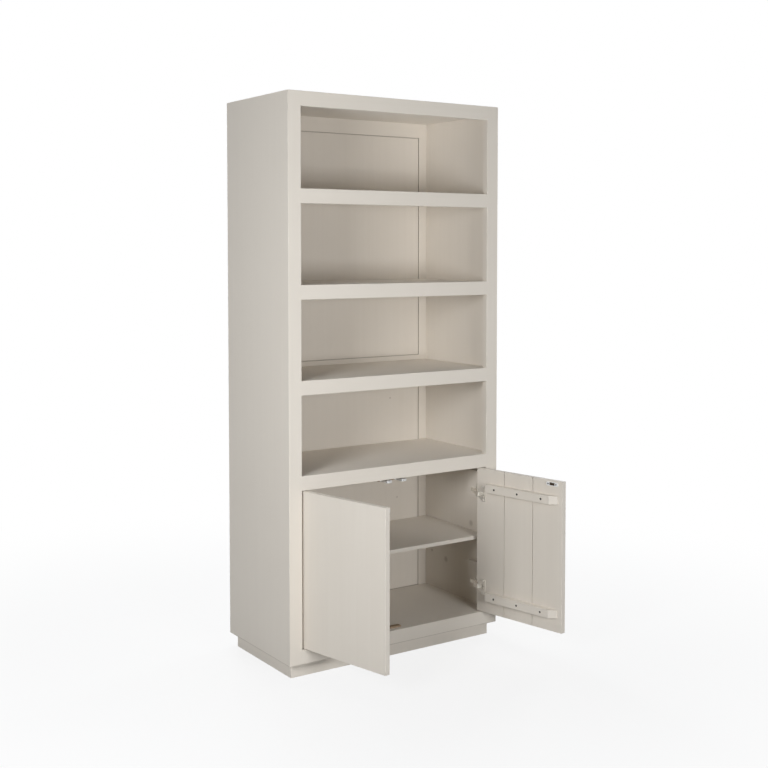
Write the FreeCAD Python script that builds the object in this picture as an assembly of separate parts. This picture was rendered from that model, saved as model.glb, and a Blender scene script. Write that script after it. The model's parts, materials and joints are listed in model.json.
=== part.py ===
import FreeCAD, Part
import math
import os

os.makedirs("parts", exist_ok=True)

V = FreeCAD.Vector
UP = V(0, 0, 1)
INTO_DOOR = V(0, -1, 0)

# A tall bookcase with four open bays above a two-door cabinet, in millimetres.
# X runs to the right, Y to the back and Z up. The origin is on the floor, under the
# middle of the carcass. Most right-hand pieces are drawn and their left-hand ones mirrored.

# Face frame and openings
opening_width = 800.0
stile_width = 50.0
rail_height = 50.0
frame_thickness = 22.0
bay_height = 275.0
door_opening_height = 550.0
plinth_height = 50.0
depth = 450.0
shelf_names = ("lower", "middle", "upper")

# Carcass boards
side_thickness = 20.0
shelf_thickness = 20.0
top_thickness = 30.0
plinth_thickness = 20.0
plinth_setback = 7.0
edge_round = 1.5

# Framed back
back_thickness = 22.0
back_stile_width = 37.0
back_top_rail_height = 55.0
back_middle_rail_height = 50.0
back_middle_rail_rise = 18.0
panel_gap = 3.5
tongue_length = 8.0
tongue_thickness = 8.0
tongue_clearance = 0.2
tongue_end_gap = 0.8

# Loose cabinet shelf on pins
cabinet_shelf_clear = 268.0
cabinet_shelf_thickness = 14.0
cabinet_shelf_setback = 40.0
cabinet_shelf_gap = 0.8
shelf_pin_radius = 3.0
shelf_pin_depth = 10.0
shelf_pin_reach = 12.0
shelf_pin_inset = 50.0
shelf_pin_clearance = 0.05

# Doors
door_thickness = 20.0
door_gap = 3.0
meeting_gap = 2.0
door_round = 1.0
board_names = ("hinge_board", "middle_board", "meeting_board")
seam_width = 2.0
seam_depth = 8.0
right_door_angle = 101.0
left_door_angle = 77.0

# Battens across the inside of each door
batten_height = 30.0
batten_thickness = 25.0
batten_inset = 67.0
batten_hinge_margin = 60.0
batten_meeting_margin = 20.0
batten_bevel = 22.0
batten_round = 0.8
batten_screw_hinge_margin = 42.0
batten_screw_meeting_margin = 58.0
batten_screw_count = 3

# Concealed hinges, each turning on one pin
hinge_inset = 96.0
pivot_from_edge = 12.0
pivot_from_front = 8.0
cup_radius = 17.5
cup_wall = 1.0
cup_skin = 2.5
cup_margin = 5.0
cup_fit = 0.05
flange_thickness = 1.5
flange_lip = 2.5
flange_ear_length = 12.0
flange_ear_width = 20.0
flange_ear_offset = 9.5
flange_corner = 4.0
arm_slot_clearance = 0.3
pin_seat = 2.5
pin_end_gap = 0.3
eye_clearance = 0.5
pin_radius = 2.0
pin_fit = 0.02
pin_running_clearance = 0.05
arm_width = 14.0
arm_thickness = 3.0
arm_neck_clearance = 4.5
arm_sweep_clearance = 1.0
arm_body_depth = 7.0
arm_length = 58.0
plate_thickness = 3.0
plate_height = 50.0
plate_width = 18.0
plate_setback = 22.0

# Wooden blocks behind the stiles, under the hinge plates
block_depth = 91.0
block_height = 104.0
block_rise = 22.0

# Push latches and their strikes
left_latch_offset = 22.0
right_latch_offset = 42.0
latch_drop = 12.0
latch_width = 20.0
latch_height = 10.0
latch_flange_width = 34.0
latch_flange_height = 12.0
latch_flange_thickness = 3.0
latch_flange_rise = 3.0
latch_setback = 66.0
latch_rear_wall = 3.0
latch_block_depth = 30.0
latch_block_overhang = 6.0
plunger_width = 10.0
plunger_height = 6.0
plunger_length = 20.0
plunger_show = 4.0
plunger_clearance = 0.2
strike_gap = 0.3
left_strike_offset = 27.5
right_strike_offset = 45.0
strike_length = 50.0
strike_height = 14.0
strike_thickness = 3.0
strike_corner = 4.0
insert_length = 22.0
insert_height = 10.0
insert_depth = 1.5
insert_fit = 0.1
spring_radius = 2.1
spring_wire_radius = 0.35
spring_turns = 5
spring_end_gap = 0.15

# Strip on the cabinet floor that stops the doors
stop_length = 54.0
stop_depth = 20.0
stop_height = 5.0
stop_gap = 4.0
stop_round = 0.8

# Screws: head radius, head height, shank radius, shank length
batten_screw = (4.0, 3.0, 1.8, 33.0)
cup_screw = (3.2, 1.6, 1.6, 12.0)
strike_screw = (2.4, 1.2, 1.3, 12.0)
plate_screw = (3.6, 2.0, 1.8, 16.0)
arm_screw = (3.0, 2.0, 1.6, 24.0)
latch_screw = (2.6, 1.4, 1.4, 16.0)
screw_clearance = 0.05
slot_length_share = 1.2
slot_width_share = 0.28
slot_depth_share = 0.6
cup_screw_inset = 7.0
plate_screw_inset = 7.5
arm_screw_inset = 10.0
strike_screw_inset = 7.5
latch_screw_inset = 3.5

# Places that follow from the sizes above
half_opening = opening_width / 2
half_width = half_opening + stile_width
inner_x = half_width - side_thickness
front = -depth / 2
rear = depth / 2
frame_back = front + frame_thickness
back_inner = rear - back_thickness
floor_top = plinth_height + rail_height
floor_under = floor_top - shelf_thickness
deck_top = floor_top + door_opening_height + rail_height
deck_under = deck_top - shelf_thickness
bay_pitch = bay_height + rail_height
shelf_tops = [deck_top + (i + 1) * bay_pitch for i in range(len(shelf_names))]
height = shelf_tops[-1] + bay_pitch

door_width = (opening_width - meeting_gap) / 2 - door_gap
door_low = floor_top + door_gap
door_high = floor_top + door_opening_height - door_gap
door_inside = front + door_thickness
hinge_edge = half_opening - door_gap
meeting_edge = hinge_edge - door_width
pivot_x = hinge_edge - pivot_from_edge
pivot_y = front + pivot_from_front
hinge_heights = (door_low + hinge_inset, door_high - hinge_inset)
batten_heights = (door_low + batten_inset, door_high - batten_inset)
latch_z = door_high - latch_drop


def slab(x, y, z):
    """A box between three pairs of low and high values."""
    return Part.makeBox(x[1] - x[0], y[1] - y[0], z[1] - z[0], V(x[0], y[0], z[0]))


def about(middle, size):
    """The low and high value of a size centred on a place."""
    return (middle - size / 2, middle + size / 2)


def rod(radius, start, direction, length):
    return Part.makeCylinder(radius, length, start, direction)


def rounded(shape, radius, choose=lambda edge: True):
    """The shape with the chosen edges rounded."""
    return shape.makeFillet(radius, [edge for edge in shape.Edges if choose(edge)])


def lies_at(edge, axis, value):
    return all(abs(getattr(vertex.Point, axis) - value) < 1e-6 for vertex in edge.Vertexes)


def runs_along(edge, axis):
    return abs(getattr(edge.tangentAt(edge.FirstParameter), axis)) > 1 - 1e-6


def without(shape, tools):
    """The shape with a list of tools cut away."""
    return shape.cut(Part.makeCompound(tools)).removeSplitter() if tools else shape


def mirrored(shape):
    return shape.mirror(V(0, 0, 0), V(1, 0, 0))


def swung(shape, side):
    """A right-hand door piece, closed, turned to its open place on one side."""
    if side == "right":
        return shape.rotated(V(pivot_x, pivot_y, 0), UP, right_door_angle)
    return mirrored(shape).rotated(V(-pivot_x, pivot_y, 0), UP, -left_door_angle)


def both_sides(shape):
    return [shape, mirrored(shape)]


def save(name, shapes):
    """Write one node, from one shape or a list of shapes."""
    shapes = shapes if isinstance(shapes, list) else [shapes]
    solids = [solid for shape in shapes for solid in shape.Solids]
    whole = solids[0] if len(solids) == 1 else Part.makeCompound(solids)
    whole.exportStep("parts/" + name + ".step")


# Screws

def screw(seat, into, sizes, countersunk=False):
    """A cross-slotted screw whose head rests on seat, or is sunk flush with it."""
    head_radius, head_height, shank_radius, length = sizes
    if countersunk:
        top = seat
        head = Part.makeCone(head_radius, shank_radius, head_height, seat, into)
        shank = rod(shank_radius, seat, into, head_height + length)
    else:
        top = seat - into * head_height
        head = rod(head_radius, top, into, head_height)
        shank = rod(shank_radius, seat, into, length)
    across = into.cross(UP) if abs(into.z) < 0.5 else V(1, 0, 0)
    along = into.cross(across)
    reach = head_radius * slot_length_share
    width = head_radius * slot_width_share
    slots = []
    for side_a, side_b in ((across, along), (along, across)):
        corner = top - side_a * (reach / 2) - side_b * (width / 2)
        points = [corner, corner + side_a * reach]
        points += [points[1] + side_b * width, corner + side_b * width, corner]
        outline = Part.Face(Part.makePolygon(points))
        slots.append(outline.extrude(into * (head_height * slot_depth_share)))
    return head.fuse(shank).cut(slots[0]).cut(slots[1])


def screw_hole(seat, into, sizes, countersunk=False):
    """The room that a screw needs in what it fastens."""
    head_radius, head_height, shank_radius, length = sizes
    bore = shank_radius + screw_clearance
    if not countersunk:
        return rod(bore, seat, into, length + screw_clearance)
    sink = Part.makeCone(head_radius + screw_clearance, bore, head_height, seat, into)
    return sink.fuse(rod(bore, seat, into, head_height + length + screw_clearance))


# Carcass and face frame

envelope = rounded(
    slab((-half_width, half_width), (front, rear), (plinth_height, height)), edge_round)


def bay_floors():
    """The top of each shelf and of the deck, from the bottom up."""
    return [deck_top] + shelf_tops


def face_frame():
    """The stiles and rails, cut from one flush blank with rounded openings."""
    blank = slab((-half_width, half_width), (front, frame_back), (plinth_height, height))
    openings = [(floor_top, floor_top + door_opening_height)]
    openings += [(floor, floor + bay_height) for floor in bay_floors()]
    for low, high in openings:
        blank = blank.cut(slab((-half_opening, half_opening), (front, frame_back), (low, high)))
    inside = half_opening + edge_round
    blank = rounded(blank, edge_round, lambda edge: lies_at(edge, "y", front)
                    and max(abs(vertex.X) for vertex in edge.Vertexes) < inside)
    blank = blank.common(envelope)
    stile = slab((half_opening, half_width), (front, frame_back), (plinth_height, height))
    save("right_stile", blank.common(stile))
    save("left_stile", blank.common(mirrored(stile)))
    rails = {"bottom_rail": floor_top, "cabinet_top_rail": deck_top, "top_rail": height}
    for name, top in zip(shelf_names, shelf_tops):
        rails[name + "_shelf_rail"] = top
    for name, top in rails.items():
        between = slab((-half_opening, half_opening), (front, frame_back), (top - rail_height, top))
        save(name, blank.common(between))


def shelf_pin_places():
    shelf_front = front + cabinet_shelf_setback
    return [V(inner_x, y, floor_top + cabinet_shelf_clear - shelf_pin_radius)
            for y in (shelf_front + shelf_pin_inset, back_inner - shelf_pin_inset)]


def side_panels():
    panel = slab((inner_x, half_width), (frame_back, rear), (plinth_height, height))
    holes = [rod(shelf_pin_radius + shelf_pin_clearance, place, V(1, 0, 0), shelf_pin_depth)
             for place in shelf_pin_places()]
    panel = without(panel.common(envelope), holes)
    save("right_side_panel", panel)
    save("left_side_panel", mirrored(panel))


def level_boards():
    """Top panel, shelves, deck and cabinet floor, all behind the face frame."""
    across = (-inner_x, inner_x)
    top = slab(across, (frame_back, rear), (height - top_thickness, height))
    save("top_panel", top.common(envelope))
    boards = {"cabinet_floor": floor_top, "cabinet_deck": deck_top}
    for name, top in zip(shelf_names, shelf_tops):
        boards[name + "_shelf"] = top
    for name, top in boards.items():
        save(name, slab(across, (frame_back, back_inner), (top - shelf_thickness, top)))


def cabinet_shelf():
    reach = inner_x - cabinet_shelf_gap
    low = floor_top + cabinet_shelf_clear
    shelf = slab((-reach, reach), (front + cabinet_shelf_setback, back_inner - cabinet_shelf_gap),
                 (low, low + cabinet_shelf_thickness))
    save("cabinet_shelf", rounded(shelf, door_round, lambda edge: runs_along(edge, "x")))
    pins = []
    for place in shelf_pin_places():
        start = place - V(shelf_pin_reach, 0, 0)
        pins += both_sides(rod(shelf_pin_radius, start, V(1, 0, 0), shelf_pin_reach + shelf_pin_depth))
    save("shelf_pins", pins)


def plinth():
    """A recessed box of boards inside the carcass, with a bearer under the floor's middle."""
    tall = (0, floor_under)
    run = (frame_back + plinth_setback, back_inner)
    inside = (run[0] + plinth_thickness, run[1] - plinth_thickness)
    skirt = rounded(slab((-inner_x, inner_x), run, tall), door_round,
                    lambda edge: runs_along(edge, "z") or lies_at(edge, "z", 0))
    save("plinth_front", slab((-inner_x, inner_x), (run[0], inside[0]), tall).common(skirt))
    save("plinth_back", slab((-inner_x, inner_x), (inside[1], run[1]), tall).common(skirt))
    side = slab((inner_x - plinth_thickness, inner_x), inside, tall).common(skirt)
    save("plinth_right", side)
    save("plinth_left", mirrored(side))
    save("plinth_bearer", slab(about(0, plinth_thickness), inside, tall))


# Framed back

def framed_back():
    """Stiles and rails grooved on their inner edges, round two tongued panels."""
    deep = (back_inner, rear)
    stile_edge = inner_x - back_stile_width
    back_top = height - top_thickness
    middle_top = shelf_tops[0] + back_middle_rail_rise
    spans = [(floor_top, middle_top - back_middle_rail_height),
             (middle_top, back_top - back_top_rail_height)]
    tongue_deep = about((back_inner + rear) / 2, tongue_thickness)
    groove_deep = about((back_inner + rear) / 2, tongue_thickness + 2 * tongue_clearance)
    groove_depth = tongue_length + tongue_end_gap
    grooves = []
    for low, high in spans:
        reach = stile_edge + groove_depth
        grooves.append(slab((-reach, reach), groove_deep, (low - groove_depth, high + groove_depth)))
    stile = without(slab((stile_edge, inner_x), deep, (plinth_height, back_top)), grooves)
    save("back_right_stile", stile)
    save("back_left_stile", mirrored(stile))
    rails = {"back_bottom_rail": (plinth_height, spans[0][0]),
             "back_middle_rail": (spans[0][1], spans[1][0]),
             "back_top_rail": (spans[1][1], back_top)}
    for name, tall in rails.items():
        save(name, without(slab((-stile_edge, stile_edge), deep, tall), grooves))
    for name, (low, high) in zip(("back_lower_panel", "back_upper_panel"), spans):
        field_x = stile_edge - panel_gap
        field = slab((-field_x, field_x), deep, (low + panel_gap, high - panel_gap))
        reach = stile_edge + tongue_length
        tongue = slab((-reach, reach), tongue_deep, (low - tongue_length, high + tongue_length))
        save(name, field.fuse(tongue).removeSplitter())


# Hinges: places around the pin are given outward from it (u) and backward from it (v)

cup_u = pivot_from_edge - cup_margin - cup_radius
cavity_radius = cup_radius - cup_wall
cup_floor_v = cup_skin - pivot_from_front
inside_v = door_thickness - pivot_from_front
block_u = pivot_from_edge + door_gap
eye_radius = -cup_floor_v - cup_wall - eye_clearance
ear_u = cup_u - flange_ear_offset
slot_half = arm_width / 2 + arm_slot_clearance
pin_reach = slot_half + pin_seat
neck_u = cup_u - math.sqrt(cavity_radius ** 2 - (arm_width / 2) ** 2) + arm_neck_clearance
flange_radius = cup_radius + flange_lip
flange_half = cup_radius + flange_ear_length
sweep = max(math.hypot(pivot_from_edge, inside_v),
            math.hypot(cup_u + flange_radius, inside_v + flange_thickness))
bridge_v = sweep + arm_sweep_clearance
arm_face_u = block_u - plate_thickness - arm_body_depth
arm_end_v = bridge_v + arm_length
plate_v = bridge_v + plate_setback


def at(u, v, z):
    return V(pivot_x + u, pivot_y + v, z)


def hinge_slab(u, v, z):
    return slab((pivot_x + u[0], pivot_x + u[1]), (pivot_y + v[0], pivot_y + v[1]), z)


def cup_screw_places(z):
    reach = flange_half - cup_screw_inset
    return [at(ear_u, inside_v + flange_thickness, z + way * reach) for way in (-1, 1)]


def hinge_cup(z):
    """A round cup let into the door, with a slot for the arm, a seat for the pin and a flange."""
    face_v = inside_v + flange_thickness
    can = rod(cup_radius, at(cup_u, inside_v, z), INTO_DOOR, inside_v - cup_floor_v)
    rim = rod(flange_radius, at(cup_u, face_v, z), INTO_DOOR, flange_thickness)
    ears = hinge_slab(about(ear_u, flange_ear_width), (inside_v, face_v), about(z, 2 * flange_half))
    ears = rounded(ears, flange_corner, lambda edge: runs_along(edge, "y"))
    floor_v = cup_floor_v + cup_wall
    slot = rod(cavity_radius, at(cup_u, face_v, z), INTO_DOOR, face_v - floor_v)
    slot = slot.common(hinge_slab(about(cup_u, 2 * cavity_radius), (floor_v, face_v),
                                  about(z, 2 * slot_half)))
    reach = pin_reach + pin_end_gap
    bore = rod(pin_radius + pin_running_clearance, at(0, 0, z - reach), UP, 2 * reach)
    holes = [screw_hole(place, INTO_DOOR, cup_screw) for place in cup_screw_places(z)]
    return without(can.fuse(rim).fuse(ears).removeSplitter(), [slot, bore] + holes)


def cup_recess(z):
    deep = inside_v - cup_floor_v
    holes = [screw_hole(place, INTO_DOOR, cup_screw) for place in cup_screw_places(z)]
    return [rod(cup_radius + cup_fit, at(cup_u, inside_v, z), INTO_DOOR, deep)] + holes


def arm_screw_place(z):
    return at(arm_face_u, arm_end_v - arm_screw_inset, z)


def hinge_arm(z):
    """An eye on the pin, a neck out of the cup and a body along the mounting plate."""
    tall = about(z, arm_width)
    foot_v = -eye_radius
    pieces = [
        rod(eye_radius, at(0, 0, tall[0]), UP, arm_width),
        hinge_slab((neck_u, 0), (foot_v, foot_v + arm_thickness), tall),
        hinge_slab((neck_u, neck_u + arm_thickness), (foot_v, bridge_v + arm_thickness), tall),
        hinge_slab((neck_u, block_u - plate_thickness), (bridge_v, bridge_v + arm_thickness), tall),
        hinge_slab((arm_face_u, block_u - plate_thickness), (bridge_v, arm_end_v), tall),
    ]
    arm = pieces[0].multiFuse(pieces[1:]).removeSplitter()
    bore = rod(pin_radius + pin_fit, at(0, 0, tall[0]), UP, arm_width)
    return without(arm, [bore, screw_hole(arm_screw_place(z), V(1, 0, 0), arm_screw)])


def plate_screw_places(z):
    reach = plate_height / 2 - plate_screw_inset
    return [at(block_u - plate_thickness, plate_v, z + way * reach) for way in (-1, 1)]


def plate_side_holes(z):
    holes = [screw_hole(place, V(1, 0, 0), plate_screw) for place in plate_screw_places(z)]
    return holes + [screw_hole(arm_screw_place(z), V(1, 0, 0), arm_screw)]


def hinge_plate(z):
    """A cross-shaped plate on the block: wings for the screws and a rib under the arm."""
    thick = (block_u - plate_thickness, block_u)
    wings = hinge_slab(thick, about(plate_v, plate_width), about(z, plate_height))
    wings = rounded(wings, plate_width / 4, lambda edge: runs_along(edge, "x"))
    rib = hinge_slab(thick, (bridge_v + arm_thickness, arm_end_v), about(z, arm_width))
    return without(wings.fuse(rib).removeSplitter(), plate_side_holes(z))


def hinge_block(z):
    block = slab((half_opening, inner_x), (frame_back, frame_back + block_depth),
                 about(z + block_rise, block_height))
    return without(rounded(block, door_round, lambda edge: lies_at(edge, "x", half_opening)),
                   plate_side_holes(z))


def hinge_pin(z):
    return rod(pin_radius, at(0, 0, z - pin_reach), UP, 2 * pin_reach)


def cabinet_hinge_screws(z):
    screws = [screw(place, V(1, 0, 0), plate_screw) for place in plate_screw_places(z)]
    return screws + [screw(arm_screw_place(z), V(1, 0, 0), arm_screw)]


def hinges():
    """What stays on the cabinet: blocks, plates, arms, pins and their screws."""
    makers = {"hinge_blocks": hinge_block, "hinge_plates": hinge_plate,
              "hinge_arms": hinge_arm, "hinge_pins": hinge_pin}
    for name, maker in makers.items():
        save(name, [piece for z in hinge_heights for piece in both_sides(maker(z))])
    screws = [piece for z in hinge_heights for piece in cabinet_hinge_screws(z)]
    save("hinge_screws", screws + [mirrored(piece) for piece in screws])


# Doors

batten_face = door_inside + batten_thickness
batten_span = (meeting_edge + batten_meeting_margin, hinge_edge - batten_hinge_margin)
strike_face = door_inside + strike_thickness


def batten_screw_places(z):
    first = batten_span[1] - batten_screw_hinge_margin
    last = batten_span[0] + batten_screw_meeting_margin
    step = (last - first) / (batten_screw_count - 1)
    return [V(first + i * step, batten_face, z) for i in range(batten_screw_count)]


def strike_screw_places(offset):
    reach = strike_length / 2 - strike_screw_inset
    return [V(offset + way * reach, strike_face, latch_z) for way in (-1, 1)]


def batten(z):
    """A bar with a bevelled end towards the meeting edge."""
    bar = slab(batten_span, (door_inside, batten_face), about(z, batten_height))
    corner = V(batten_span[0], batten_face, z - batten_height)
    bevel = Part.Face(Part.makePolygon([corner, corner + V(batten_bevel, 0, 0),
                                        corner - V(0, batten_bevel, 0), corner]))
    bar = bar.cut(bevel.extrude(UP * (2 * batten_height)))
    bar = rounded(bar, batten_round, lambda edge: not lies_at(edge, "y", door_inside))
    holes = [screw_hole(place, INTO_DOOR, batten_screw, True) for place in batten_screw_places(z)]
    return without(bar, holes)


def strike(offset):
    """The plate on the door that meets the latch, and its steel insert."""
    thick = (door_inside, strike_face)
    plate = slab(about(offset, strike_length), thick, about(latch_z, strike_height))
    plate = rounded(plate, strike_corner, lambda edge: runs_along(edge, "y"))
    bed = (strike_face - insert_depth, strike_face)
    pocket = slab(about(offset, insert_length + 2 * insert_fit), bed,
                  about(latch_z, insert_height + 2 * insert_fit))
    holes = [screw_hole(place, INTO_DOOR, strike_screw) for place in strike_screw_places(offset)]
    insert = slab(about(offset, insert_length), bed, about(latch_z, insert_height))
    return without(plate, [pocket] + holes), insert


def door_boards(strike_offset):
    """Three upright boards, cut from one blank with a narrow groove along each seam inside."""
    blank = rounded(slab((meeting_edge, hinge_edge), (front, door_inside), (door_low, door_high)),
                    door_round)
    count = len(board_names)
    edges = [hinge_edge - i * door_width / count for i in range(count + 1)]
    tall = (door_low, door_high)
    groove_deep = (door_inside - seam_depth, door_inside)
    grooves = [slab(about(x, seam_width), groove_deep, tall) for x in edges[1:-1]]
    holes = [tool for z in hinge_heights for tool in cup_recess(z)]
    for z in batten_heights:
        holes += [screw_hole(place, INTO_DOOR, batten_screw, True) for place in batten_screw_places(z)]
    holes += [screw_hole(place, INTO_DOOR, strike_screw) for place in strike_screw_places(strike_offset)]
    blank = blank.cut(Part.makeCompound(grooves + holes))
    return [blank.common(slab((edges[i + 1], edges[i]), (front, door_inside), tall)) for i in range(count)]


def door_screws(strike_offset):
    screws = []
    for z in batten_heights:
        screws += [screw(place, INTO_DOOR, batten_screw, True) for place in batten_screw_places(z)]
    for z in hinge_heights:
        screws += [screw(place, INTO_DOOR, cup_screw) for place in cup_screw_places(z)]
    return screws + [screw(place, INTO_DOOR, strike_screw) for place in strike_screw_places(strike_offset)]


def doors():
    for side, strike_offset in (("left", left_strike_offset), ("right", right_strike_offset)):
        plate, insert = strike(strike_offset)
        pieces = {name: [board] for name, board in zip(board_names, door_boards(strike_offset))}
        pieces["battens"] = [batten(z) for z in batten_heights]
        pieces["hinge_cups"] = [hinge_cup(z) for z in hinge_heights]
        pieces["screws"] = door_screws(strike_offset)
        pieces["strike_plate"] = [plate]
        pieces["strike_insert"] = [insert]
        for name, shapes in pieces.items():
            save(side + "_door_" + name, [swung(shape, side) for shape in shapes])


# Push latches

latch_places = {"left": -left_latch_offset, "right": right_latch_offset}
latch_base_y = front + latch_setback
plunger_tip_y = strike_face + strike_gap
latch_front_y = plunger_tip_y + plunger_show
plunger_rear_y = plunger_tip_y + plunger_length
cavity_end_y = latch_base_y - latch_rear_wall
latch_flange_z = latch_z + latch_flange_rise


def latch_screw_places(x):
    reach = latch_flange_width / 2 - latch_screw_inset
    seat_y = latch_base_y - latch_flange_thickness
    return [V(x + way * reach, seat_y, latch_flange_z) for way in (-1, 1)]


def latch_housing(x):
    """A hollow body in front of a flange with two screw ears."""
    body = slab(about(x, latch_width), (latch_front_y, latch_base_y), about(latch_z, latch_height))
    body = rounded(body, door_round, lambda edge: runs_along(edge, "y") or lies_at(edge, "y", latch_front_y))
    flange = slab(about(x, latch_flange_width),
                  (latch_base_y - latch_flange_thickness, latch_base_y),
                  about(latch_flange_z, latch_flange_height))
    flange = rounded(flange, latch_flange_height / 4, lambda edge: runs_along(edge, "y"))
    hollow = slab(about(x, plunger_width + 2 * plunger_clearance),
                  (latch_front_y, cavity_end_y), about(latch_z, plunger_height + 2 * plunger_clearance))
    holes = [screw_hole(place, V(0, 1, 0), latch_screw) for place in latch_screw_places(x)]
    return without(body.fuse(flange).removeSplitter(), [hollow] + holes)


def latch_plunger(x):
    nose = slab(about(x, plunger_width), (plunger_tip_y, plunger_rear_y),
                about(latch_z, plunger_height))
    return rounded(nose, door_round, lambda edge: lies_at(edge, "y", plunger_tip_y))


def biarc(start, start_way, end, end_way):
    """Two arcs that leave start and reach end along the given directions."""
    gap = end - start
    ways = start_way + end_way
    a = ways.dot(ways) - 4
    b = gap.dot(ways)
    reach = (b - math.sqrt(b * b - a * gap.dot(gap))) / a
    knee_a = start + start_way * reach
    knee_b = end - end_way * reach
    joint = (knee_a + knee_b) * 0.5
    arcs = []
    for near, knee, far in ((start, knee_a, joint), (joint, knee_b, end)):
        weight = (far - near).Length / 2 / (knee - near).Length
        middle = (near + far + knee * (2 * weight)) * (0.5 / (1 + weight))
        arcs.append(Part.Arc(near, middle, far).toShape())
    return arcs


def latch_spring(x):
    """A coil spring between the plunger and the end of its hollow."""
    low = plunger_rear_y + spring_end_gap + spring_wire_radius
    high = cavity_end_y - spring_end_gap - spring_wire_radius
    rise = (high - low) / (spring_turns * 2 * math.pi)
    quarter = math.pi / 2

    def place(turn):
        return V(x + spring_radius * math.cos(turn), low + rise * turn,
                 latch_z + spring_radius * math.sin(turn))

    def way(turn):
        return V(-spring_radius * math.sin(turn), rise, spring_radius * math.cos(turn)).normalize()

    arcs = []
    for i in range(spring_turns * 4):
        a, b = i * quarter, (i + 1) * quarter
        arcs += biarc(place(a), way(a), place(b), way(b))
    section = Part.Wire(Part.makeCircle(spring_wire_radius, place(0), way(0)))
    shell = Part.BRepOffsetAPI.MakePipeShell(Part.Wire(arcs))
    shell.add(section)
    shell.build()
    shell.makeSolid()
    return Part.Solid(shell.shape())


def latch_block():
    """The wooden block under the deck that both latches are screwed to."""
    reach = latch_flange_width / 2 + latch_block_overhang
    low = latch_flange_z - latch_flange_height / 2
    block = slab((latch_places["left"] - reach, latch_places["right"] + reach),
                 (latch_base_y, latch_base_y + latch_block_depth), (low, deck_under))
    return without(block, [screw_hole(place, V(0, 1, 0), latch_screw)
                           for x in latch_places.values() for place in latch_screw_places(x)])


def latches():
    makers = {"latch_housing": latch_housing, "latch_plunger": latch_plunger, "latch_spring": latch_spring}
    for side, x in latch_places.items():
        for name, maker in makers.items():
            save(side + "_" + name, maker(x))
    save("latch_block", latch_block())
    save("latch_screws", [screw(place, V(0, 1, 0), latch_screw)
                          for x in latch_places.values() for place in latch_screw_places(x)])


def door_stop():
    near = door_inside + stop_gap
    strip = slab(about(0, stop_length), (near, near + stop_depth), (floor_top, floor_top + stop_height))
    save("door_stop", rounded(strip, stop_round, lambda edge: not lies_at(edge, "z", floor_top)))


face_frame()
side_panels()
level_boards()
cabinet_shelf()
plinth()
framed_back()
hinges()
doors()
latches()
door_stop()
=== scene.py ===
import functools
import json
import math
import bpy
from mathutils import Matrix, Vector


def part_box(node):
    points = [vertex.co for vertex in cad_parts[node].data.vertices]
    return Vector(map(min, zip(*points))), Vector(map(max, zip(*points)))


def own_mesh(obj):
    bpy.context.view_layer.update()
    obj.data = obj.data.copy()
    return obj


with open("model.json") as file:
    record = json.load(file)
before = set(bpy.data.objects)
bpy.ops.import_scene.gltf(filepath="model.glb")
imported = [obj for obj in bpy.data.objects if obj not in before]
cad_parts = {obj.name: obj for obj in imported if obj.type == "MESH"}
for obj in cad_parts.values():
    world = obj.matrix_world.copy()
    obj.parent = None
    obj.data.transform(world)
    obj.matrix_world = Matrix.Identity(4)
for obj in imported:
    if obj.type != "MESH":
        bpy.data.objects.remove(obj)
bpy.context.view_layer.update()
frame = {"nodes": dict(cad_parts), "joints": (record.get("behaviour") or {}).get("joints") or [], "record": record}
nodes = frame["nodes"]
x_axis, y_axis, z_axis = range(3)

# Camera: place in metres, angles in degrees, lens and sensor in millimetres, shift in sensor widths
camera_place = (-2.4025, -3.6949, 1.4735)
camera_yaw = 33.971
camera_tilt = -2.841
camera_lens = 55.66
camera_sensor = 36.0
camera_shift = -0.10

# Light: a faint dome, and area lamps in degrees left of the front, metres and watts
dome_strength = 0.02
dome_tint = (1.0, 0.99, 0.975)
lamp_target = (0.0, -0.1, 1.0)
lamp_tint = (0.935, 0.96, 0.99)
lamps = {
    "key_lamp": dict(bearing=57, height=1.42, distance=3.0, size=0.9, watts=46.5),
    "front_lamp": dict(bearing=3, height=1.13, distance=4.2, size=1.1, watts=66),
    "right_lamp": dict(bearing=-40, height=1.2, distance=4.0, size=1.0, watts=8),
    "side_lamp": dict(bearing=92, height=2.5, distance=3.0, size=0.8, watts=2.8),
    "back_lamp": dict(bearing=-170, height=1.9, distance=3.6, size=1.2, watts=60),
    "far_lamp": dict(bearing=-108, height=1.7, distance=3.4, size=1.1, watts=45),
    "top_lamp": dict(bearing=180, height=4.2, distance=1.0, size=1.2, watts=40),
}

# Floor: its colour for bounced light and for the camera, and the metres over which it turns white
floor_half_width = 40.0
floor_colour = (0.38, 0.377, 0.37)
floor_shown = (0.90, 0.90, 0.90)
floor_roughness = 0.9
floor_white_near = 0.84
floor_fade = (0.9, 2.6)

# Colours, linear: a pair holds the darker and the lighter end of a finish
paint_tones = ((0.768, 0.706, 0.622), (0.795, 0.735, 0.652))
# The dark of specks and knots, also used for the painted shade bands
speck_knot_and_painted_shade_colour = (0.330, 0.275, 0.215)
wood_tones = ((0.300, 0.208, 0.135), (0.430, 0.312, 0.212))
wood_pore = (0.220, 0.145, 0.090)
plastic_tones = ((0.860, 0.850, 0.830), (0.910, 0.903, 0.885))
hinge_steel_tones = ((0.86, 0.83, 0.775), (0.94, 0.915, 0.865))
strike_steel_tones = ((0.050, 0.034, 0.022), (0.120, 0.085, 0.058))
spring_steel_tones = ((0.35, 0.34, 0.33), (0.50, 0.49, 0.48))
dark_screw_tones = ((0.030, 0.026, 0.022), (0.075, 0.066, 0.058))
bright_screw_tones = ((0.800, 0.765, 0.705), (0.900, 0.870, 0.815))

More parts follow.
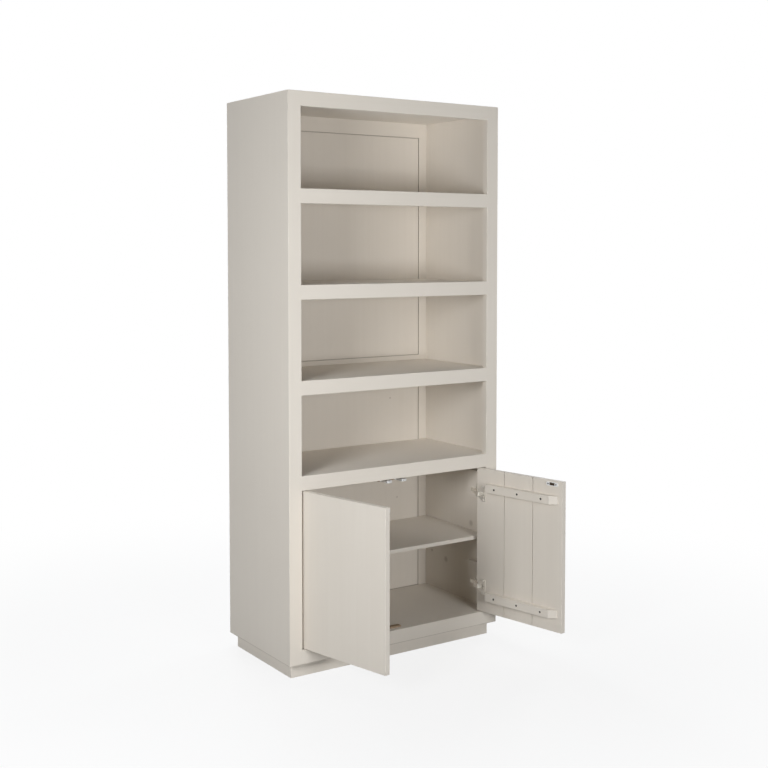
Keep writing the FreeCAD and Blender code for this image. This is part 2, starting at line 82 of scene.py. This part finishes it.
# Roughness, gloss and metal: a pair holds the least and the greatest roughness
paint_roughness = (0.44, 0.56)
paint_diffuse_roughness = 0.35
paint_gloss = 0.42
wood_roughness = (0.55, 0.72)
wood_gloss = 0.3
plastic_roughness = (0.34, 0.46)
plastic_gloss = 0.45
screw_roughness = (0.35, 0.5)
screw_metallic = 0.7

# Metals by slot
metals = {
    "hinge_steel": dict(tones=hinge_steel_tones, roughness=(0.42, 0.56), metallic=1.0),
    "strike_steel": dict(tones=strike_steel_tones, roughness=(0.4, 0.6), metallic=0.6),
    "spring_steel": dict(tones=spring_steel_tones, roughness=(0.25, 0.4), metallic=1.0),
    "dark_screws": dict(tones=dark_screw_tones, roughness=screw_roughness, metallic=screw_metallic),
}

# Fineness of each layer of noise, per metre: the same each way, across and along the grain, or by axis
mottle_fineness = 2.6
streak_fineness = (60.0, 1.3)
grain_fineness = (420.0, 9.0)
stipple_fineness = 900.0
wood_band_fineness = (160.0, 4.0)
wood_pore_fineness = (900.0, 22.0)
metal_cloud_fineness = 45.0
metal_scratch_fineness = (60.0, 900.0, 900.0)
screw_cloud_fineness = 300.0
screw_scratch_fineness = (400.0, 900.0, 900.0)
plastic_cloud_fineness = 60.0
plastic_texture_fineness = 1600.0

# Depth of the bumps, in metres
streak_depth = 0.00003
grain_depth = 0.000006
stipple_depth = 0.000004
wood_band_depth = 0.0003
wood_pore_depth = 0.0002
scratch_depth = 0.00003
plastic_texture_depth = 0.00003

# Where noise turns from one end of a finish to the other
noise_span = (0.3, 0.7)
paint_tone_span = (0.65, 1.35)
wood_tone_span = (0.35, 0.65)
wood_pore_span = (0.58, 0.70)

# A piece's random number times this is its own place in the noise
seed_spread = 61.0

# Specks in the paint: cells per metre, the dot's core and rim in cells, and which cells have one
speck_cells = 17.0
speck_size = (0.012, 0.03)
speck_chance = (0.86, 0.90)
speck_strength = 0.55

# Faint knots that show through the paint: place and radius in metres, darkest in the core's share of it
knot_strength = 0.45
knot_core = 0.35
knots = {
    "right_side_panel": (((0.430, 0.065, 0.230), 0.015), ((0.430, -0.096, 0.407), 0.015),
                         ((0.430, 0.159, 0.247), 0.008)),
    "back_lower_panel": (((0.287, 0.203, 0.474), 0.005), ((0.253, 0.203, 0.877), 0.005)),
}

# Painted shade, where the paint is darker along the carcass's lower edge and in the back's grooves: an axis, the
# places along it in metres, and how much
painted_shade_lower_edge = (z_axis, 0.0495, 0.0530, 0.40)
painted_shade_back_grooves = (y_axis, 0.2037, 0.2243, 0.45)
band_softness = 0.0002

# A door's screws are bright within this distance of its hinge's axis, in metres, and dark a little beyond
bright_reach = (0.045, 0.0495)


def feed(tree, socket, value):
    """Joins a socket to another node's output, or sets its value."""
    if isinstance(value, bpy.types.NodeSocket):
        tree.links.new(value, socket)
    else:
        socket.default_value = value


def add(tree, kind, inputs, output=0, **settings):
    """A new node of this kind, and the output that the next node reads."""
    node = tree.nodes.new("ShaderNode" + kind)
    for name, value in settings.items():
        setattr(node, name, value)
    for key, value in inputs.items():
        feed(tree, node.inputs[key], value)
    return node.outputs[output]


class Surface:
    """A material, with short calls that add nodes to it and join them."""

    def __init__(self, name, settings):
        self.material = bpy.data.materials.new(name)
        self.material.use_nodes = True
        self.tree = self.material.node_tree
        self.shader = self.tree.nodes["Principled BSDF"]
        self.set(settings)

    def set(self, settings):
        """Sets or joins sockets of the material's own shader."""
        for name, value in settings.items():
            feed(self.tree, self.shader.inputs[name], value)

    def add(self, kind, inputs, output=0, **settings):
        return add(self.tree, kind, inputs, output, **settings)

    def place(self, turn=0.0):
        """Row-frame coordinates that stay with the piece, turned about the upright axis."""
        here = self.add("TexCoord", {}, "Object")
        return self.add("Mapping", {"Vector": here, "Rotation": (0.0, 0.0, turn)})

    def seed(self):
        """A number that differs from piece to piece."""
        return self.times(self.add("ObjectInfo", {}, "Random"), seed_spread)

    def noise(self, where, seed, fineness, detail, roughness):
        """Noise from 0 to 1, as fine each way or with its own fineness along each axis."""
        scale = fineness if isinstance(fineness, tuple) else (fineness, fineness, fineness)
        stretched = self.add("Mapping", {"Vector": where, "Scale": scale})
        sockets = {"Vector": stretched, "W": seed, "Scale": 1.0, "Detail": detail, "Roughness": roughness}
        return self.add("TexNoise", sockets, "Fac", noise_dimensions="4D")

    def remap(self, value, low, high, to_low=0.0, to_high=1.0):
        sockets = {"Value": value, "From Min": low, "From Max": high, "To Min": to_low, "To Max": to_high}
        return self.add("MapRange", sockets, clamp=True)

    def times(self, a, b):
        return self.add("Math", {0: a, 1: b}, operation="MULTIPLY")

    def larger(self, a, b):
        return self.add("Math", {0: a, 1: b}, operation="MAXIMUM")

    def band(self, where, axis, low, high, strength):
        """This strength between two places along an axis, and 0 elsewhere."""
        here = self.add("SeparateXYZ", {"Vector": where}, axis)
        rising = self.remap(here, low - band_softness, low, 0.0, strength)
        return self.times(rising, self.remap(here, high, high + band_softness, 1.0, 0.0))

    def near(self, where, place, inner, outer):
        """1 within the inner distance of a place, fading to 0 at the outer one."""
        distance = self.add("VectorMath", {0: where, 1: place}, "Value", operation="DISTANCE")
        return self.remap(distance, inner, outer, 1.0, 0.0)

    def mix(self, share, a, b):
        """Colour a where share is 0 and colour b where it is 1."""
        a, b = [c if isinstance(c, bpy.types.NodeSocket) else (*c, 1.0) for c in (a, b)]
        return self.add("Mix", {0: share, 6: a, 7: b}, 2, data_type="RGBA")

    def bumps(self, *layers):
        """Bump layers of (height, depth in metres), each on top of the one before."""
        normal = None
        for height, depth in layers:
            inputs = {"Height": height, "Distance": depth, "Strength": 1.0}
            if normal is not None:
                inputs["Normal"] = normal
            normal = self.add("Bump", inputs)
        self.set({"Normal": normal})


def along(axis, across, lengthwise):
    """The fineness by axis of a grain that runs along one axis."""
    return tuple(lengthwise if i == axis else across for i in range(3))


@functools.cache
def painted_wood(name, axis, turn=0.0, spots=(), bands=()):
    """Satin paint over close-grained wood, with streaks, mottling, specks, knots and bands of painted shade.

    Boards that ask for the same paint share one material.
    """
    s = Surface(name, {"Specular IOR Level": paint_gloss, "Diffuse Roughness": paint_diffuse_roughness})
    where, seed = s.place(turn), s.seed()
    mottle = s.noise(where, seed, mottle_fineness, detail=3.0, roughness=0.55)
    streaks = s.noise(where, seed, along(axis, *streak_fineness), detail=3.0, roughness=0.6)
    grain = s.noise(where, seed, along(axis, *grain_fineness), detail=2.0, roughness=0.6)
    stipple = s.noise(where, seed, stipple_fineness, detail=1.0, roughness=0.5)
    tone = s.add("Math", {0: mottle, 1: streaks}, operation="ADD")
    colour = s.mix(s.remap(tone, *paint_tone_span), *paint_tones)
    cells = {"Vector": where, "Scale": speck_cells, "W": seed}
    distance = s.add("TexVoronoi", cells, "Distance", voronoi_dimensions="4D")
    chance = s.add("SeparateColor", {"Color": distance.node.outputs["Color"]})
    dot = s.times(s.remap(distance, *speck_size, 1.0, 0.0), s.remap(chance, *speck_chance))
    specks_knots_and_painted_shade = s.times(dot, speck_strength)
    for place, radius in spots:
        knot = s.near(where, place, radius * knot_core, radius)
        specks_knots_and_painted_shade = s.larger(specks_knots_and_painted_shade, s.times(knot, knot_strength))
    # Painted shade: darker bands along the carcass's lower edge and, on the back's pieces, in the grooves,
    # standing for the shade there
    for band in (painted_shade_lower_edge, *bands):
        specks_knots_and_painted_shade = s.larger(specks_knots_and_painted_shade, s.band(where, *band))
    s.set({"Base Color": s.mix(specks_knots_and_painted_shade, colour, speck_knot_and_painted_shade_colour),
           "Roughness": s.remap(streaks, *noise_span, *paint_roughness)})
    s.bumps((streaks, streak_depth), (grain, grain_depth), (stipple, stipple_depth))
    return s.material


def bare_wood():
    """Tan unpainted wood with its grain along the width."""
    s = Surface("bare_wood", {"Specular IOR Level": wood_gloss})
    where, seed = s.place(), s.seed()
    bands = s.noise(where, seed, along(x_axis, *wood_band_fineness), detail=4.0, roughness=0.6)
    pores = s.noise(where, seed, along(x_axis, *wood_pore_fineness), detail=2.0, roughness=0.6)
    colour = s.mix(s.remap(bands, *wood_tone_span), *wood_tones)
    s.set({"Base Color": s.mix(s.remap(pores, *wood_pore_span), colour, wood_pore),
           "Roughness": s.remap(bands, *noise_span, *wood_roughness)})
    s.bumps((bands, wood_band_depth), (pores, wood_pore_depth))
    return s.material


def metal(name, tones, roughness, metallic):
    """Metal with fine scratches and a cloudy finish."""
    s = Surface(name, {"Metallic": metallic})
    where, seed = s.place(), s.seed()
    clouds = s.noise(where, seed, metal_cloud_fineness, detail=3.0, roughness=0.6)
    scratches = s.noise(where, seed, metal_scratch_fineness, detail=2.0, roughness=0.6)
    s.set({"Base Color": s.mix(s.remap(clouds, *noise_span), *tones),
           "Roughness": s.remap(scratches, *noise_span, *roughness)})
    s.bumps((scratches, scratch_depth))
    return s.material


def door_screws(name, hinge):
    """Dark screws, and bright ones within reach of the hinge's upright axis."""
    s = Surface(name, {"Metallic": screw_metallic})
    where, seed = s.place(), s.seed()
    level = s.add("Mapping", {"Vector": where, "Scale": (1.0, 1.0, 0.0)})
    bright = s.near(level, (hinge[0], hinge[1], 0.0), *bright_reach)
    clouds = s.remap(s.noise(where, seed, screw_cloud_fineness, detail=3.0, roughness=0.6), *noise_span)
    scratches = s.noise(where, seed, screw_scratch_fineness, detail=2.0, roughness=0.6)
    s.set({"Base Color": s.mix(bright, s.mix(clouds, *dark_screw_tones), s.mix(clouds, *bright_screw_tones)),
           "Roughness": s.remap(scratches, *noise_span, *screw_roughness)})
    s.bumps((scratches, scratch_depth))
    return s.material


def white_plastic():
    """Moulded plastic with a fine matt texture."""
    s = Surface("white_plastic", {"Specular IOR Level": plastic_gloss})
    where, seed = s.place(), s.seed()
    clouds = s.noise(where, seed, plastic_cloud_fineness, detail=2.0, roughness=0.5)
    texture = s.noise(where, seed, plastic_texture_fineness, detail=1.0, roughness=0.5)
    s.set({"Base Color": s.mix(s.remap(clouds, *noise_span), *plastic_tones),
           "Roughness": s.remap(texture, *noise_span, *plastic_roughness)})
    s.bumps((texture, plastic_texture_depth))
    return s.material


def door_turns():
    """The turn that closes each door from rest, in radians about the upright axis."""
    turns = {}
    for joint in frame["joints"]:
        if joint["type"] == "hinge":
            closed = max(joint["range_deg"], key=abs)
            turns[joint["child"]] = math.radians(closed) * joint["axis"][z_axis]
    return turns


def finish_pieces():
    """Gives each piece its material: paint by the way the board's grain runs, the rest by slot."""
    turns = door_turns()
    by_slot = {name: metal(name, **finish) for name, finish in metals.items()}
    by_slot.update(bare_wood=bare_wood(), white_plastic=white_plastic())
    slots = {entry["node"]: entry["material_slot"] for entry in frame["record"]["subparts"]}
    hinges = {joint["child"]: joint["pos_m"] for joint in frame["record"]["behaviour"]["joints"]
              if joint["type"] == "hinge"}
    for name, piece in nodes.items():
        at_back = name.startswith("back_")
        # The back's pieces also get painted shade in their grooves
        bands = (painted_shade_back_grooves,) if at_back else ()
        if name.endswith("_door_screws"):
            finish = door_screws(name, hinges[name.removesuffix("_screws")])
        elif slots[name] != "painted_wood":
            finish = by_slot[slots[name]]
        elif name.endswith("_battens"):
            finish = painted_wood("paint_on_" + name, x_axis, turns[name.removesuffix("_battens")])
        elif name in knots:
            finish = painted_wood("paint_on_" + name, z_axis, spots=knots[name], bands=bands)
        else:
            low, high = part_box(name)
            axis = max(range(3), key=lambda i: high[i] - low[i])
            label = ("back_" if at_back else "") + "paint_along_" + "xyz"[axis]
            finish = painted_wood(label, axis, bands=bands)
        piece.data.materials.clear()
        piece.data.materials.append(finish)


def springs_follow():
    """Gives each latch spring its own copy of its mesh."""
    for joint in frame["joints"]:
        if joint["type"] == "slide":
            spring = joint["child"].replace("plunger", "spring")
            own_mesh(nodes[spring])


def light_scene():
    """Area lamps around the piece, all aimed at its middle and none of them in the picture."""
    for name, lamp in lamps.items():
        data = bpy.data.lights.new(name, "AREA")
        data.shape, data.size = "SQUARE", lamp["size"]
        data.energy, data.color = lamp["watts"], lamp_tint
        thing = bpy.data.objects.new(name, data)
        bearing, reach = math.radians(lamp["bearing"]), lamp["distance"]
        thing.location = (-reach * math.sin(bearing), -reach * math.cos(bearing), lamp["height"])
        thing.rotation_euler = (Vector(lamp_target) - thing.location).to_track_quat("-Z", "Y").to_euler()
        thing.visible_camera = False
        bpy.context.scene.collection.objects.link(thing)


def seen_directly(tree):
    """1 for rays that show the background itself: to the camera, in a gloss or through glass."""
    seen = add(tree, "LightPath", {}, "Is Camera Ray")
    rays = seen.node.outputs
    for ray in ("Is Glossy Ray", "Is Transmission Ray"):
        seen = add(tree, "Math", {0: seen, 1: rays[ray]}, operation="MAXIMUM")
    return seen


def white_world():
    """A dome that lights the scene faintly and shows as plain white."""
    world = bpy.data.worlds.new("studio")
    bpy.context.scene.world = world
    world.use_nodes = True
    tree = world.node_tree
    dome = tree.nodes["Background"]
    feed(tree, dome.inputs["Color"], (*dome_tint, 1.0))
    feed(tree, dome.inputs["Strength"], dome_strength)
    white = add(tree, "Background", {"Color": (1.0, 1.0, 1.0, 1.0)})
    mixed = add(tree, "MixShader", {0: seen_directly(tree), 1: dome.outputs[0], 2: white})
    feed(tree, tree.nodes["World Output"].inputs["Surface"], mixed)


def floor():
    """A pale floor that shows almost white and keeps the shadow."""
    half = floor_half_width
    corners = [(-half, -half, 0), (half, -half, 0), (half, half, 0), (-half, half, 0)]
    mesh = bpy.data.meshes.new("floor")
    mesh.from_pydata(corners, [], [(0, 1, 2, 3)])
    thing = bpy.data.objects.new("floor", mesh)
    bpy.context.scene.collection.objects.link(thing)
    s = Surface("floor", {"Roughness": floor_roughness, "Specular IOR Level": 0.0})
    seen = seen_directly(s.tree)
    s.set({"Base Color": s.mix(seen, floor_colour, floor_shown)})
    distance = s.add("VectorMath", {0: s.add("TexCoord", {}, "Object")}, "Value", operation="LENGTH")
    near, far = floor_fade
    fade = {"Value": distance, "From Min": near, "From Max": far, "To Min": floor_white_near}
    whiteness = s.times(seen, s.add("MapRange", fade, interpolation_type="SMOOTHSTEP"))
    mixed = s.add("MixShader", {0: whiteness, 1: s.shader.outputs[0], 2: s.add("Emission", {})})
    feed(s.tree, s.tree.nodes["Material Output"].inputs["Surface"], mixed)
    mesh.materials.append(s.material)


def camera():
    data = bpy.data.cameras.new("camera")
    data.sensor_width, data.lens, data.shift_y = camera_sensor, camera_lens, camera_shift
    thing = bpy.data.objects.new("camera", data)
    thing.location = camera_place
    thing.rotation_euler = (math.radians(90 + camera_tilt), 0.0, math.radians(-camera_yaw))
    bpy.context.scene.collection.objects.link(thing)
    bpy.context.scene.camera = thing


finish_pieces()
springs_follow()
light_scene()
white_world()
floor()
camera()
bpy.context.scene.view_settings.view_transform = "Standard"
